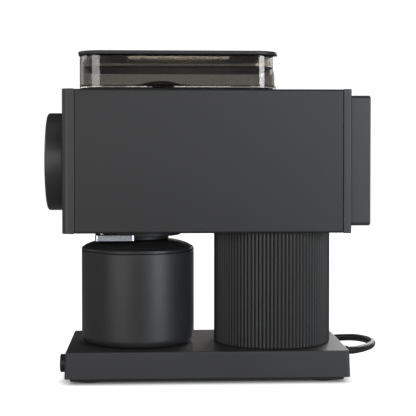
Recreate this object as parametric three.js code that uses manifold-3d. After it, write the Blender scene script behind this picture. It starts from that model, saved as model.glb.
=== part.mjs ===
// Electric flat-burr coffee grinder: a metal box on a fluted column and a weighted base.
// Millimetres, +Z up. X is the width, the grind dial faces -Y and the mains cord leaves at +Y.
// The origin is on the surface that the grinder stands on, under the middle of its outline.

import * as THREE from 'three';
import { mergeVertices } from 'three/addons/utils/BufferGeometryUtils.js';
import Module from 'manifold-3d';

// ---------- driving dimensions ----------

const GAP = 0.3;                 // left between pieces that rest on each other
const HALF_WIDTH = 52.5;
const HALF_LENGTH = 122;         // from the dial's face to the vent cover's back

const FOOT_HEIGHT = 1.2;
const PLATE_TOP = 3.8;
const BASE_BOTTOM = 4.1;
const BASE_TOP = 24.1;
const BASE_HALF_LENGTH = 106.5;
const BASE_DRAFT = 0.8;          // how far each end leans in over the base's height
const BASE_WALL = 2.5;

const BODY_BOTTOM = 111.9;
const BODY_TOP = 218.7;
const BODY_FRONT = -98.4;
const BODY_REAR = 100.5;
const BODY_WALL = 2.4;
const CAP_PROUD = 0.6;           // the end caps stand this far outside the body on every side
const FRONT_CAP = 9.5;           // thickness, seam included
const REAR_CAP = 6.3;

const AXIS_Z = 164.6;            // height of the dial, burr and motor axis
const SHAFT_R = 5;
const BORE_R = SHAFT_R + GAP;
const BURR_R = 32;
const BURR_EYE_R = 16;
const BURR_GAP_Y = -68.7;        // plane between the two burrs
const BURR_GAP = 0.8;
const BURR_THICK = 6.6;
const CHAMBER_R = 40;
const TUNNEL_R = 21;             // outside of the auger's tunnel
const TUNNEL_REAR = -14;

const CUP_Y = -52.7;             // centre of the cup and of the chute
const CUP_R = 43.8;
const CUP_WALL = 2;
const CUP_TOP = 95.5;
const CHUTE_END = 104.7;

const FEED_Y = -34.6;            // centre of the hopper's outlet
const COLUMN_Y = 52.4;
const COLUMN_R = 45.4;
const FLUTES = 96;
const FLUTE_DEPTH = 0.9;

const HOPPER_Y = -21.6;
const HOPPER_WIDTH = 87;
const HOPPER_LENGTH = 148.8;
const HOPPER_CORNER = 17.5;
const HOPPER_WALL = 2.5;
const HOPPER_BOTTOM = 220.5;
const LID_BOTTOM = 244.8;
const LID_TOP = 247.7;
const LID_OVERHANG = 1.1;
const PLUG_BOTTOM = 236.3;

const BUTTON_X = 37;
const BUTTON_Z = 13.8;
const BUTTON_R = 6.75;
const BUTTON_FACE_Y = -110.4;

const CORD_R = 3;
const CORD_Z = 15;
const RELIEF_START = 6;          // along the cord's route, at the outside of the base's rear wall
const RELIEF_END = 14;
const COIL = { x: -95, y: 60, inner: 27, outer: 39, height: 12 };

// ---------- finishes ----------

function finish(color, roughness, metalness) {
  return new THREE.MeshStandardMaterial({ color, roughness, metalness });
}

const BLACK_COAT = finish(0x3f3f41, 0.55, 0.4);
const BLACK_ANODISED = finish(0x2c2c2d, 0.4, 0.6);
const BLACK_PLASTIC = finish(0x232323, 0.5, 0);
const RUBBER = finish(0x111111, 0.85, 0);
const SMOKED_CLEAR = finish(0x6b6862, 0.08, 0);
const BRIGHT_ALUMINIUM = finish(0xc9ccd0, 0.25, 1);
const CAST_ALUMINIUM = finish(0x9b9da0, 0.5, 0.9);
const STEEL = finish(0x8e9195, 0.3, 1);
const TOOL_STEEL = finish(0x74777c, 0.35, 1);
const COPPER = finish(0xb06a3b, 0.4, 0.8);
const BOARD_GREEN = finish(0x1f5b3a, 0.6, 0);
const BRASS = finish(0xc8a24b, 0.3, 1);

// ---------- solids ----------

const wasm = await Module();
wasm.setup();

function toSolid(geometry) {
  const bare = new THREE.BufferGeometry();
  bare.setAttribute('position', geometry.attributes.position);
  if (geometry.index) bare.setIndex(geometry.index);
  const merged = mergeVertices(bare, 1e-4);
  const corners = merged.index.array;
  const triVerts = [];
  for (let i = 0; i < corners.length; i += 3) {
    const [a, b, c] = corners.slice(i, i + 3);
    if (a !== b && b !== c && c !== a) triVerts.push(a, b, c);
  }
  return new wasm.Manifold(new wasm.Mesh({
    numProp: 3,
    vertProperties: new Float32Array(merged.attributes.position.array),
    triVerts: new Uint32Array(triVerts),
  }));
}

function toGeometry(solid) {
  const mesh = solid.getMesh();
  const geometry = new THREE.BufferGeometry();
  geometry.setAttribute('position', new THREE.BufferAttribute(new Float32Array(mesh.vertProperties), 3));
  geometry.setIndex(new THREE.BufferAttribute(new Uint32Array(mesh.triVerts), 1));
  geometry.computeVertexNormals();
  return geometry;
}

function cut(body, ...tools) {
  return toGeometry(tools.reduce((solid, tool) => solid.subtract(toSolid(tool)), toSolid(body)));
}

function join(first, ...others) {
  return toGeometry(others.reduce((solid, other) => solid.add(toSolid(other)), toSolid(first)));
}

function block(x0, x1, y0, y1, z0, z1) {
  const geometry = new THREE.BoxGeometry(x1 - x0, y1 - y0, z1 - z0);
  return geometry.translate((x0 + x1) / 2, (y0 + y1) / 2, (z0 + z1) / 2);
}

// Rectangle with rounded corners, centred on the origin of its own plane.
function roundedRectangle(width, height, radius) {
  const right = width / 2 - radius;
  const top = height / 2 - radius;
  const shape = new THREE.Shape();
  shape.moveTo(-right, -top - radius);
  shape.absarc(right, -top, radius, -Math.PI / 2, 0);
  shape.absarc(right, top, radius, 0, Math.PI / 2);
  shape.absarc(-right, top, radius, Math.PI / 2, Math.PI);
  shape.absarc(-right, -top, radius, Math.PI, 1.5 * Math.PI);
  return shape;
}

// An outline in X and Y, raised from z0 to z1.
function raised(shape, z0, z1, curveSegments = 2) {
  const geometry = new THREE.ExtrudeGeometry(shape, { depth: z1 - z0, bevelEnabled: false, curveSegments });
  return geometry.translate(0, 0, z0);
}

// An outline in X and Z, drawn out from y0 to y1.
function drawnOut(shape, y0, y1, curveSegments = 2) {
  const geometry = new THREE.ExtrudeGeometry(shape, { depth: y1 - y0, bevelEnabled: false, curveSegments });
  return geometry.rotateX(Math.PI / 2).translate(0, y1, 0);
}

// A profile of [radius, height] pairs, counter-clockwise, turned about Y or about Z.
function turnedY(profile, segments = 24) {
  const points = profile.map(([radius, height]) => new THREE.Vector2(radius, height));
  return new THREE.LatheGeometry(points, segments);
}

function turnedZ(profile, segments = 24) {
  return turnedY(profile, segments).rotateX(Math.PI / 2);
}

function ring(inner, outer, from, to) {
  return [[inner, from], [outer, from], [outer, to], [inner, to], [inner, from]];
}

function rod(radius, from, to) {
  return [[0, from], [radius, from], [radius, to], [0, to]];
}

// Points on a quarter circle or less, for the rounded stretches of a turned profile.
function arc(radius, centreR, centreZ, startDegrees, endDegrees, steps) {
  const points = [];
  for (let i = 0; i <= steps; i += 1) {
    const angle = THREE.MathUtils.degToRad(startDegrees + (endDegrees - startDegrees) * i / steps);
    points.push([centreR + radius * Math.cos(angle), centreZ + radius * Math.sin(angle)]);
  }
  return points;
}

// ---------- assembly ----------

const grinder = new THREE.Group();

function group(parent, x, y, z) {
  const child = new THREE.Group();
  child.position.set(x, y, z);
  parent.add(child);
  return child;
}

function add(parent, name, geometry, material, x = 0, y = 0, z = 0) {
  const mesh = new THREE.Mesh(geometry, material);
  mesh.name = name;
  mesh.position.set(x, y, z);
  parent.add(mesh);
  return mesh;
}

// ---------- base ----------

const CAVITY_HALF_WIDTH = HALF_WIDTH - BASE_WALL;
const CAVITY_HALF_LENGTH = BASE_HALF_LENGTH - BASE_DRAFT - BASE_WALL;

function baseShell() {
  const height = BASE_TOP - BASE_BOTTOM;
  const outer = raised(roundedRectangle(2 * HALF_WIDTH, 2 * BASE_HALF_LENGTH, 2.4), BASE_BOTTOM, BASE_TOP);
  const corners = outer.attributes.position;
  for (let i = 0; i < corners.count; i += 1) {
    const lean = BASE_DRAFT / BASE_HALF_LENGTH * (corners.getZ(i) - BASE_BOTTOM) / height;
    corners.setY(i, corners.getY(i) * (1 - lean));
  }
  const cavity = block(-CAVITY_HALF_WIDTH, CAVITY_HALF_WIDTH, -CAVITY_HALF_LENGTH, CAVITY_HALF_LENGTH,
    0, BASE_TOP - BASE_WALL);
  const buttonHole = turnedY(rod(BUTTON_R + GAP, -HALF_LENGTH, -90), 20).translate(BUTTON_X, 0, BUTTON_Z);
  const cordHole = turnedY(rod(5, 90, HALF_LENGTH), 20).translate(0, 0, CORD_Z);
  const wireHole = turnedZ(rod(9, 10, 40), 20).translate(0, COLUMN_Y, 0);
  return cut(outer, cavity, buttonHole, cordHole, wireHole);
}

function basePlate() {
  const sole = raised(roundedRectangle(95, 205, 3), FOOT_HEIGHT + GAP, PLATE_TOP).translate(0, -0.5, 0);
  const tray = raised(roundedRectangle(2 * CAVITY_HALF_WIDTH - 1, 2 * CAVITY_HALF_LENGTH - 1, 2),
    PLATE_TOP - 0.2, PLATE_TOP + 2.4);
  return join(sole, tray);
}

function column() {
  const outline = new THREE.Shape();
  for (let i = 0; i < 2 * FLUTES; i += 1) {
    const radius = i % 2 ? COLUMN_R - FLUTE_DEPTH : COLUMN_R;
    const angle = Math.PI * i / FLUTES;
    outline.lineTo(radius * Math.cos(angle), radius * Math.sin(angle));
  }
  outline.currentPoint.set(COLUMN_R, 0);
  outline.curves.shift();
  const bore = new THREE.Path().absarc(0, 0, COLUMN_R - 5, 0, 2 * Math.PI, true);
  outline.holes.push(bore);
  return raised(outline, BASE_TOP + GAP, BODY_BOTTOM - GAP, 12);
}

const base = group(grinder, 0, 0, 0);
add(base, 'base_shell', baseShell(), BLACK_COAT);
add(base, 'base_plate', basePlate(), BLACK_PLASTIC);
let footNumber = 0;
for (const x of [-36, 36]) {
  for (const y of [-88, 87]) {
    footNumber += 1;
    add(base, `rubber_foot_${footNumber}`, turnedZ(rod(9, 0, FOOT_HEIGHT), 24), RUBBER, x, y, 0);
  }
}
add(base, 'base_weight', block(-44, 44, -60, 62, PLATE_TOP + 2.8, PLATE_TOP + 7.8), STEEL);
add(base, 'base_magnet', turnedZ(rod(15, 0, 2.4), 24), STEEL, 0, CUP_Y, BASE_TOP - BASE_WALL - GAP - 2.4);
add(base, 'column', column(), BLACK_ANODISED, 0, COLUMN_Y, 0);

// The control board is one plate with its relay, its capacitor and its connector on it.
const boardParts = [
  block(-42, -8, 66, 98, 8, 9.6),
  block(-38, -24, 70, 86, 9, 17),
  block(-20, -12, 88, 95, 9, 15),
  turnedZ(rod(5, 9, 19), 16).translate(-16, 76, 0),
];
add(base, 'control_board', join(...boardParts), BOARD_GREEN);

// ---------- power button ----------

const BUTTON_FLANGE_FRONT = -CAVITY_HALF_LENGTH + GAP + 0.1;
const BUTTON_FLANGE_REAR = BUTTON_FLANGE_FRONT + 1.5;
const SWITCH_FRONT = -94.5;
const button = group(grinder, BUTTON_X, 0, BUTTON_Z);
add(button, 'power_button', turnedY([
  [0, BUTTON_FACE_Y],
  ...arc(0.8, BUTTON_R - 0.8, BUTTON_FACE_Y + 0.8, -90, 0, 1),
  [BUTTON_R, BUTTON_FLANGE_FRONT],
  [BUTTON_R + 0.7, BUTTON_FLANGE_FRONT],
  [BUTTON_R + 0.7, BUTTON_FLANGE_REAR],
  [3, BUTTON_FLANGE_REAR],
  [3, SWITCH_FRONT - 2.6],
  [0, SWITCH_FRONT - 2.6],
], 20), BLACK_ANODISED);
add(button, 'button_spring', turnedY(ring(3.6, 5, BUTTON_FLANGE_REAR + GAP, SWITCH_FRONT - GAP), 16), STEEL);
add(button, 'power_switch', block(-7, 7, SWITCH_FRONT, SWITCH_FRONT + 11, -6, 6), BLACK_PLASTIC);

// ---------- body, end caps and vent cover ----------

const BODY_HALF_WIDTH = HALF_WIDTH - CAP_PROUD;
const BODY_HEIGHT = BODY_TOP - BODY_BOTTOM;
const BODY_MID_Z = (BODY_TOP + BODY_BOTTOM) / 2;
const THROAT_R = 15.4;
const CHUTE_R = 21;
const KNOCKER_PIN = { x: 27.5, y: -79.5, radius: 2 };

function bodyShell() {
  const outer = roundedRectangle(2 * BODY_HALF_WIDTH, BODY_HEIGHT, 1.8);
  outer.holes.push(roundedRectangle(2 * (BODY_HALF_WIDTH - BODY_WALL), BODY_HEIGHT - 2 * BODY_WALL, 1));
  const tube = drawnOut(outer, BODY_FRONT, BODY_REAR).translate(0, 0, BODY_MID_Z);
  const feedHole = turnedZ(rod(THROAT_R + 0.4, 200, 240)).translate(0, FEED_Y, 0);
  const chuteHole = turnedZ(rod(CHUTE_R + 0.5, 100, 120)).translate(0, CUP_Y, 0);
  const wireHole = turnedZ(rod(12, 100, 120), 20).translate(0, COLUMN_Y, 0);
  const pinHole = turnedZ(rod(KNOCKER_PIN.radius + GAP, 100, 120), 16);
  pinHole.translate(KNOCKER_PIN.x, KNOCKER_PIN.y, 0);
  return cut(tube, feedHole, chuteHole, wireHole, pinHole);
}

// A cap seen from above: straight seam towards the body, rounded edges on the outside.
function capOutline(seamY, faceY, radius) {
  const away = Math.sign(faceY - seamY);
  const outline = new THREE.Shape();
  outline.moveTo(-HALF_WIDTH, seamY);
  outline.lineTo(-HALF_WIDTH, faceY - away * radius);
  outline.absarc(-HALF_WIDTH + radius, faceY - away * radius, radius, Math.PI, away * Math.PI / 2, away > 0);
  outline.absarc(HALF_WIDTH - radius, faceY - away * radius, radius, away * Math.PI / 2, 0, away > 0);
  outline.lineTo(HALF_WIDTH, seamY);
  return outline;
}

const FRONT_CAP_FACE = BODY_FRONT - FRONT_CAP;
const REAR_CAP_FACE = BODY_REAR + REAR_CAP;
const CAP_BOTTOM = BODY_BOTTOM - CAP_PROUD;
const CAP_TOP = BODY_TOP + CAP_PROUD;
const NUT_R = 12;
const DIAL_R = 37.75;
const DIAL_BACK = FRONT_CAP_FACE - 0.5;
const DETENT_Z = 35.9;           // above the axis

function frontCap() {
  const plate = raised(capOutline(BODY_FRONT - GAP, FRONT_CAP_FACE, 5), CAP_BOTTOM, CAP_TOP, 3);
  const nutHole = turnedY(rod(NUT_R + 0.6, -120, -90)).translate(0, 0, AXIS_Z);
  const detentHole = turnedY(rod(1.8, -120, FRONT_CAP_FACE + 7), 12).translate(0, 0, AXIS_Z + DETENT_Z);
  return cut(plate, nutHole, detentHole);
}

function rearCap() {
  const plate = raised(capOutline(BODY_REAR + GAP, REAR_CAP_FACE, 1.5), CAP_BOTTOM, CAP_TOP);
  const slots = [];
  for (let row = -3; row <= 3; row += 1) {
    slots.push(block(-30, 30, 90, 115, AXIS_Z + 11 * row - 2.5, AXIS_Z + 11 * row + 2.5));
  }
  return cut(plate, ...slots);
}

const VENT_COVER = { halfWidth: 47.5, bottom: 117, top: 214.4, wall: 2 };

function rearCover() {
  const { halfWidth, bottom, top, wall } = VENT_COVER;
  const middle = (bottom + top) / 2;
  const outer = drawnOut(roundedRectangle(2 * halfWidth, top - bottom, 3), REAR_CAP_FACE + GAP, HALF_LENGTH);
  const inner = drawnOut(roundedRectangle(2 * (halfWidth - wall), top - bottom - 2 * wall, 1.5),
    REAR_CAP_FACE - 1, HALF_LENGTH - wall);
  const slots = [];
  for (let row = -4; row <= 3; row += 1) {
    slots.push(block(-34, 34, HALF_LENGTH - 5, HALF_LENGTH + 1, 10 * row + 3, 10 * row + 7));
  }
  return cut(outer, inner, ...slots).translate(0, 0, middle);
}

const body = group(grinder, 0, 0, 0);
add(body, 'body_shell', bodyShell(), BLACK_COAT);
add(body, 'front_cap', frontCap(), BLACK_COAT);
add(body, 'rear_cap', rearCap(), BLACK_COAT);
add(body, 'rear_cover', rearCover(), BLACK_COAT);

// ---------- grind adjustment: dial, nut and detent ----------

const drive = group(grinder, 0, 0, AXIS_Z);
const NUT_FRONT = -HALF_LENGTH + 4.3;

add(drive, 'adjust_dial', turnedY([
  [0, -HALF_LENGTH],
  ...arc(0.9, DIAL_R - 0.9, -HALF_LENGTH + 0.9, -90, 0, 1),
  [DIAL_R, DIAL_BACK - 0.6],
  [DIAL_R - 0.6, DIAL_BACK],
  [34, DIAL_BACK],
  [34, NUT_FRONT - GAP],
  [18, NUT_FRONT - GAP],
  [18, DIAL_BACK - 0.6],
  [NUT_R + GAP, DIAL_BACK - 0.6],
  [NUT_R + GAP, NUT_FRONT - GAP],
  [0, NUT_FRONT - GAP],
], 36), BLACK_ANODISED);

const CARRIER_FRONT = -88;
const CARRIER_REAR = BURR_GAP_Y - BURR_GAP / 2 - BURR_THICK - GAP;
const STEM_R = 7;
add(drive, 'adjuster_nut', turnedY([
  [0, NUT_FRONT],
  [NUT_R, NUT_FRONT],
  [NUT_R, BODY_FRONT + 0.2],
  [20, BODY_FRONT + 0.2],
  [20, BODY_FRONT + 3.2],
  [14, BODY_FRONT + 3.2],
  [14, CARRIER_FRONT - 1.5],
  [STEM_R + 0.4, CARRIER_FRONT - 1.5],
  [STEM_R + 0.4, -113],
  [0, -113],
]), BRASS);
add(drive, 'detent_plunger', turnedY(rod(1.5, FRONT_CAP_FACE - 0.2, FRONT_CAP_FACE + 6.5), 12), STEEL,
  0, 0, DETENT_Z);

// ---------- burrs and their chamber ----------

// Runs make(angle) for each of the evenly spaced places around the axis.
function around(count, make) {
  const made = [];
  for (let i = 0; i < count; i += 1) made.push(make(2 * Math.PI * i / count));
  return made;
}

// A flat ring with grooves cut across its face to make the teeth.
function burr(face, back) {
  const disc = turnedY(ring(BURR_EYE_R, BURR_R, Math.min(face, back), Math.max(face, back)), 28);
  const teeth = around(8, (angle) => {
    const groove = new THREE.BoxGeometry(1.8, 2.4, 2 * BURR_R);
    return groove.rotateY(0.3).translate(0, face, 1.4 * BURR_R).rotateY(angle);
  });
  return cut(disc, ...teeth);
}

const OUTER_FACE = BURR_GAP_Y - BURR_GAP / 2;
const INNER_FACE = BURR_GAP_Y + BURR_GAP / 2;
const INNER_BACK = INNER_FACE + BURR_THICK;
add(drive, 'outer_burr', burr(OUTER_FACE, OUTER_FACE - BURR_THICK), TOOL_STEEL);
add(drive, 'outer_burr_carrier', turnedY([
  [0, -106],
  [STEM_R, -106],
  [STEM_R, CARRIER_FRONT],
  [35, CARRIER_FRONT],
  [35, CARRIER_REAR],
  [0, CARRIER_REAR],
], 32), CAST_ALUMINIUM);
add(drive, 'wave_spring', turnedY(ring(32.8, 35.2, CARRIER_REAR + 1, CARRIER_REAR + 4.6), 32), STEEL);

function innerBurrCarrier() {
  const rim = turnedY(ring(BURR_EYE_R + 1, BURR_R, INNER_BACK + GAP, INNER_BACK + 6.7), 28);
  const hub = turnedY(rod(7.5, INNER_BACK + GAP, INNER_BACK + 6.7), 16);
  const spokes = around(3, (angle) => (
    block(-2.5, 2.5, INNER_BACK + GAP + 0.5, INNER_BACK + 6.2, 4, BURR_EYE_R + 4).rotateY(angle)));
  return cut(join(rim, hub, ...spokes), turnedY(rod(BORE_R, -100, 0), 16));
}

add(drive, 'inner_burr', burr(INNER_FACE, INNER_BACK), TOOL_STEEL);
add(drive, 'inner_burr_carrier', innerBurrCarrier(), STEEL);
add(drive, 'burr_nut', cut(turnedY(rod(8.5, INNER_BACK - 2.6, INNER_BACK), 6),
  turnedY(rod(BORE_R, -100, 0), 16)), STEEL);

const CHAMBER_BACK = INNER_BACK + 7.4;
const CHAMBER_REAR = CHAMBER_BACK + 3.8;

function burrChamber() {
  const casting = turnedY([
    [35.6, -94],
    [CHAMBER_R, -94],
    [CHAMBER_R, CHAMBER_REAR],
    [TUNNEL_R, CHAMBER_REAR],
    [TUNNEL_R, TUNNEL_REAR],
    [17.3, TUNNEL_REAR],
    [17.3, CHAMBER_BACK],
    [33, CHAMBER_BACK],
    [33, -70],
    [35.6, -70],
    [35.6, -94],
  ], 28);
  const frame = cut(block(-46, 46, -94, -90, -46, 46), turnedY(rod(CHAMBER_R - 2, -100, -80), 28));
  const outlet = block(-13, 13, -70, CHAMBER_BACK - 0.5, -CHAMBER_R - 2, -28);
  const inlet = turnedZ(rod(12.5, 10, 30), 20).translate(0, FEED_Y, 0);
  return cut(join(casting, frame), outlet, inlet);
}

// A tube with two flights that wind once round it.
function auger() {
  const from = CHAMBER_BACK - 0.4;
  const length = TUNNEL_REAR - 3 - from;
  const upright = new THREE.Vector3(0, 1, 0);
  const flights = around(2, (startAngle) => {
    const flight = new THREE.BoxGeometry(9.2, length - 2, 3.6, 1, 12, 1).translate(11, length / 2, 0);
    const corners = flight.attributes.position;
    const corner = new THREE.Vector3();
    for (let i = 0; i < corners.count; i += 1) {
      corner.fromBufferAttribute(corners, i);
      corner.applyAxisAngle(upright, startAngle + 2 * Math.PI * corner.y / length);
      corners.setXYZ(i, corner.x, corner.y, corner.z);
    }
    return flight;
  });
  return join(turnedY(ring(BORE_R, 7.5, 0, length), 18), ...flights).translate(0, from, 0);
}

add(drive, 'burr_chamber', burrChamber(), CAST_ALUMINIUM);
add(drive, 'auger', auger(), STEEL);

// ---------- motor ----------

const MOUNT_FRONT = TUNNEL_REAR + 0.4;
const MOUNT_BACK = MOUNT_FRONT + 5.2;
const BEARING_R = 13;
const MOTOR_R = 40;
const MOTOR_FRONT = 3;
const MOTOR_REAR = 84;
const CORE_FROM = 20;
const CORE_TO = 68;

function motorMount() {
  const plate = drawnOut(roundedRectangle(97, 100, 3), MOUNT_FRONT, MOUNT_BACK).translate(0, 0, 0.7);
  const boss = turnedY(rod(17, MOUNT_BACK - 1, MOTOR_FRONT - GAP));
  const seat = turnedY(rod(BEARING_R + GAP, MOUNT_BACK, MOTOR_FRONT + 1));
  const shaftHole = turnedY(rod(9, MOUNT_FRONT - 1, MOUNT_BACK + 1), 20);
  return cut(join(plate, boss), seat, shaftHole);
}

function motorEndCap() {
  const cap = turnedY([
    [BEARING_R + GAP, 75],
    [17, 75],
    [17, MOTOR_REAR + GAP],
    [MOTOR_R, MOTOR_REAR + GAP],
    [MOTOR_R, MOTOR_REAR + 4],
    [7, MOTOR_REAR + 4],
    [7, MOTOR_REAR + 1],
    [BEARING_R + GAP, MOTOR_REAR + 1],
    [BEARING_R + GAP, 75],
  ]);
  const vents = around(6, (angle) => (
    turnedY(rod(5, MOTOR_REAR - 1, MOTOR_REAR + 6), 8).translate(0, 0, 29).rotateY(angle)));
  return cut(cap, ...vents);
}

function coolingFan() {
  const hub = turnedY(rod(11, 90, 97), 18);
  const blades = around(9, (angle) => {
    const blade = new THREE.BoxGeometry(1.6, 6.4, 27);
    return blade.rotateZ(0.4).translate(0, 93.5, 22).rotateY(angle);
  });
  return cut(join(hub, ...blades), turnedY(rod(BORE_R, 80, 100), 16));
}

add(drive, 'motor_mount', motorMount(), CAST_ALUMINIUM);
add(drive, 'front_bearing', turnedY(ring(BORE_R, BEARING_R, MOUNT_BACK + GAP, 1)), STEEL);
add(drive, 'motor_can', turnedY([
  [9, MOTOR_FRONT],
  [MOTOR_R, MOTOR_FRONT],
  [MOTOR_R, MOTOR_REAR],
  [MOTOR_R - 2.5, MOTOR_REAR],
  [MOTOR_R - 2.5, MOTOR_FRONT + 3],
  [9, MOTOR_FRONT + 3],
  [9, MOTOR_FRONT],
]), STEEL);
add(drive, 'stator_core', turnedY(ring(24, MOTOR_R - 3, CORE_FROM, CORE_TO), 28), TOOL_STEEL);
add(drive, 'rotor_core', turnedY(ring(BORE_R, 23.3, CORE_FROM, CORE_TO)), COPPER);
add(drive, 'rear_bearing', turnedY(ring(BORE_R, BEARING_R, 76, MOTOR_REAR)), STEEL);
add(drive, 'motor_end_cap', motorEndCap(), CAST_ALUMINIUM);
add(drive, 'cooling_fan', coolingFan(), BLACK_PLASTIC);
add(drive, 'drive_shaft', turnedY(rod(SHAFT_R, INNER_BACK - 4.3, 98), 20), STEEL);

// ---------- feed throat, chute and knocker ----------

const THROAT_BORE = 13;

function feedThroat() {
  const tube = turnedZ(ring(THROAT_BORE, THROAT_R, AXIS_Z + 15, BODY_TOP - GAP));
  const collar = turnedZ(ring(THROAT_BORE, 19, BODY_TOP - 5.5, BODY_TOP - BODY_WALL - GAP));
  const tunnel = turnedY(rod(TUNNEL_R + GAP, -60, 0), 28).translate(0, -FEED_Y, AXIS_Z);
  return cut(join(tube, collar), tunnel);
}

function chute() {
  const tube = turnedZ(ring(18, CHUTE_R, CHUTE_END, AXIS_Z - 28.6), 28);
  const lip = turnedZ(ring(18, 24, CHUTE_END, BODY_BOTTOM - 4 - GAP), 28);
  const chamber = turnedY(rod(CHAMBER_R + GAP, -100, CHAMBER_REAR + GAP), 28).translate(0, -CUP_Y, AXIS_Z);
  return cut(join(tube, lip), chamber);
}

const TAB = { front: -84.5, rear: -54.2, inner: 24, outer: 36, bottom: 104.9, top: 111.3 };
const FLANGE_R = 33.5;

function knockerLever() {
  const { front, rear, inner, outer, bottom, top } = TAB;
  const bar = raised(roundedRectangle(outer - inner, rear - front, 2.2), bottom, top, 3);
  bar.translate((inner + outer) / 2, (front + rear) / 2, 0);
  const flange = turnedZ(rod(FLANGE_R + 0.6, 100, 120), 36).translate(0, CUP_Y, 0);
  const pinHole = turnedZ(rod(KNOCKER_PIN.radius + GAP, bottom + 1.5, top + 1), 16);
  pinHole.translate(KNOCKER_PIN.x, KNOCKER_PIN.y, 0);
  return cut(bar, flange, pinHole);
}

const PIN_HEAD = BODY_BOTTOM + 12;
add(grinder, 'feed_throat', feedThroat(), BLACK_PLASTIC, 0, FEED_Y, 0);
add(grinder, 'chute', chute(), BLACK_PLASTIC, 0, CUP_Y, 0);
add(grinder, 'chute_flange', turnedZ(ring(CHUTE_R + 0.5, FLANGE_R, BODY_BOTTOM - 4, BODY_BOTTOM - GAP), 36),
  BLACK_PLASTIC, 0, CUP_Y, 0);
add(grinder, 'knocker_lever', knockerLever(), BRIGHT_ALUMINIUM);
add(grinder, 'knocker_pin', turnedZ([
  [0, TAB.bottom + 2],
  [KNOCKER_PIN.radius, TAB.bottom + 2],
  [KNOCKER_PIN.radius, PIN_HEAD],
  [4.4, PIN_HEAD],
  [4.4, PIN_HEAD + 2],
  [0, PIN_HEAD + 2],
], 16), STEEL, KNOCKER_PIN.x, KNOCKER_PIN.y, 0);
add(grinder, 'knocker_spring', turnedZ(ring(2.6, 4.2, BODY_BOTTOM + BODY_WALL + GAP, PIN_HEAD - GAP), 16),
  STEEL, KNOCKER_PIN.x, KNOCKER_PIN.y, 0);

// ---------- catch cup ----------

const cup = group(grinder, 0, CUP_Y, 0);
const CUP_BOTTOM = BASE_TOP + GAP;
const CUP_FOOT_R = 5.8;
const MAGNET_POCKET = 15.3;
add(cup, 'catch_cup', turnedZ([
  [0, CUP_BOTTOM + 2.7],
  [MAGNET_POCKET, CUP_BOTTOM + 2.7],
  [MAGNET_POCKET, CUP_BOTTOM],
  ...arc(CUP_FOOT_R, CUP_R - CUP_FOOT_R, CUP_BOTTOM + CUP_FOOT_R, -90, 0, 3),
  [CUP_R, CUP_TOP],
  [CUP_R - CUP_WALL, CUP_TOP],
  [CUP_R - CUP_WALL, CUP_BOTTOM + 9],
  [CUP_R - CUP_WALL - 4, CUP_BOTTOM + 4.8],
  [0, CUP_BOTTOM + 4.8],
], 32), BLACK_ANODISED);
add(cup, 'cup_magnet', turnedZ(rod(MAGNET_POCKET - GAP, CUP_BOTTOM, CUP_BOTTOM + 2.4), 24), STEEL);

// The lid is a shallow dome with a hole under the chute and a skirt inside the cup.
const LID_HOLE_R = 17;
const DOME_TOP = CHUTE_END - 0.5;
const DOME_EDGE = CUP_TOP + 2.6;
const SKIRT_R = CUP_R - CUP_WALL - 0.4;
add(cup, 'catch_lid', turnedZ([
  [LID_HOLE_R, DOME_TOP - 1.8],
  [35, 100],
  [SKIRT_R - 1.6, 96.6],
  [SKIRT_R - 1.6, 88],
  [SKIRT_R, 88],
  [SKIRT_R, CUP_TOP + GAP],
  [CUP_R, CUP_TOP + GAP],
  [CUP_R, DOME_EDGE - 0.6],
  [CUP_R - 0.8, DOME_EDGE],
  [39.5, 100.6],
  [34, 102.6],
  [27, 103.9],
  [LID_HOLE_R, DOME_TOP],
  [LID_HOLE_R, DOME_TOP - 1.8],
], 32), BLACK_ANODISED);

// ---------- hopper ----------

const hopper = group(grinder, 0, HOPPER_Y, 0);
const OUTLET_Y = FEED_Y - HOPPER_Y;
const HOPPER_FLOOR = HOPPER_BOTTOM + 2.2;

// The hopper's outline, moved inwards by inset all round.
function hopperOutline(inset) {
  return roundedRectangle(HOPPER_WIDTH - 2 * inset, HOPPER_LENGTH - 2 * inset, HOPPER_CORNER - inset);
}

function hopperFrame(outerInset, innerInset, z0, z1) {
  const outline = hopperOutline(outerInset);
  outline.holes.push(hopperOutline(innerInset));
  return raised(outline, z0, z1, 3);
}

function hopperBin() {
  const walls = raised(hopperOutline(0), HOPPER_BOTTOM, LID_BOTTOM - GAP, 3);
  const cavity = raised(hopperOutline(HOPPER_WALL), HOPPER_FLOOR, LID_BOTTOM + 1, 3);
  const spigot = turnedZ(rod(THROAT_BORE - 0.4, 204, HOPPER_FLOOR - 0.5)).translate(0, OUTLET_Y, 0);
  const outlet = turnedZ(rod(10.6, 200, 230)).translate(0, OUTLET_Y, 0);
  return cut(join(cut(walls, cavity), spigot), outlet);
}

function fingerGuard() {
  const rise = 5.2;
  const rimR = 20.2;
  const domeR = (rimR ** 2 + rise ** 2) / (2 * rise);
  const rimZ = HOPPER_FLOOR + GAP;
  const centreZ = rimZ + rise - domeR;
  const innerR = domeR - 1.6;
  const edge = (radius) => THREE.MathUtils.radToDeg(Math.asin((rimZ - centreZ) / radius));
  const outside = arc(domeR, 0, centreZ, edge(domeR), 90, 3);
  const inside = arc(innerR, 0, centreZ, 90, edge(innerR), 3);
  const dome = turnedZ([...inside, ...outside]);
  const slots = around(6, (angle) => block(6, 16, -2.6, 2.6, 215, 235).rotateZ(angle));
  return cut(dome, ...slots);
}

function lidPlug() {
  const outside = raised(hopperOutline(HOPPER_WALL + 2.7), PLUG_BOTTOM, LID_BOTTOM - GAP, 3);
  const inside = raised(hopperOutline(HOPPER_WALL + 4.7), PLUG_BOTTOM - 1, LID_BOTTOM - 2, 3);
  return cut(outside, inside);
}

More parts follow.
